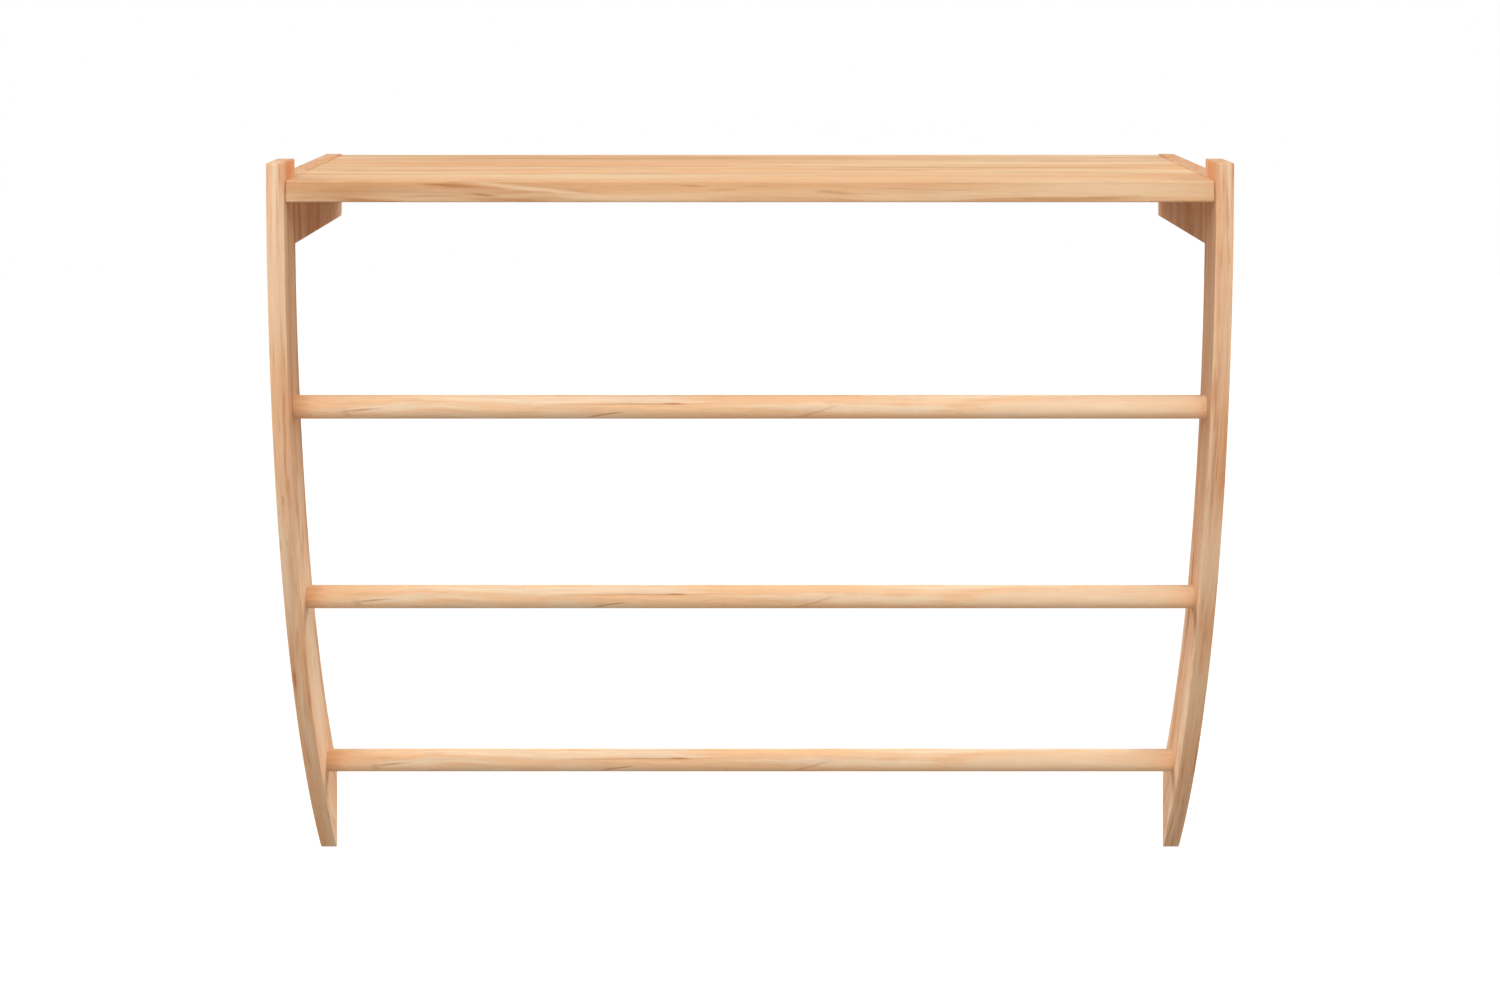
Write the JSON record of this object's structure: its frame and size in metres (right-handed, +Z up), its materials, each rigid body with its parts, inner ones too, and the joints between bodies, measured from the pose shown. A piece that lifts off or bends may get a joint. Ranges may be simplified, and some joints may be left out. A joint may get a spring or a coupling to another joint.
{
  "type": "towel rack",
  "caption": "Wall-hung wooden towel rack: a flat shelf on two bowed side panels, with round rails stepped back towards the wall below it.",
  "frame": {"origin": "middle of the shelf's back edge, in the plane of the wall", "axes": "+Z up, +Y into the wall, +X to the right as seen from the room"},
  "size_m": [0.8, 0.3369, 0.658],
  "materials": {
    "side_wood": "satin, lightly oiled",
    "shelf_wood": "satin, lightly oiled",
    "rail_wood": "satin, lightly oiled",
    "plug_wood": "satin, lightly oiled",
    "dowel_wood": "plain turned beech",
    "screw_steel": "zinc plated",
    "plate_steel": "zinc plated",
    "buffer_rubber": "matt"
  },
  "bodies": {
    "root": {"shelf_board": "shelf_wood", "rail_top": "rail_wood", "rail_middle": "rail_wood", "rail_low": "rail_wood", "side_panel_left": "side_wood", "hanger_plate_left": "plate_steel", "wall_peg_left": "dowel_wood", "wall_buffer_left": "buffer_rubber", "hanger_screw_upper_left": "screw_steel", "hanger_screw_lower_left": "screw_steel", "rail_screw_top_left": "screw_steel", "rail_plug_top_left": "plug_wood", "rail_screw_middle_left": "screw_steel", "rail_plug_middle_left": "plug_wood", "rail_screw_low_left": "screw_steel", "rail_plug_low_left": "plug_wood", "shelf_screw_front_left": "screw_steel", "shelf_plug_front_left": "plug_wood", "shelf_dowel_front_left": "dowel_wood", "shelf_screw_back_left": "screw_steel", "shelf_plug_back_left": "plug_wood", "shelf_dowel_back_left": "dowel_wood", "side_panel_right": "side_wood", "hanger_plate_right": "plate_steel", "wall_peg_right": "dowel_wood", "wall_buffer_right": "buffer_rubber", "hanger_screw_upper_right": "screw_steel", "hanger_screw_lower_right": "screw_steel", "rail_screw_top_right": "screw_steel", "rail_plug_top_right": "plug_wood", "rail_screw_middle_right": "screw_steel", "rail_plug_middle_right": "plug_wood", "rail_screw_low_right": "screw_steel", "rail_plug_low_right": "plug_wood", "shelf_screw_front_right": "screw_steel", "shelf_plug_front_right": "plug_wood", "shelf_dowel_front_right": "dowel_wood", "shelf_screw_back_right": "screw_steel", "shelf_plug_back_right": "plug_wood", "shelf_dowel_back_right": "dowel_wood"}
  },
  "joints": []
}
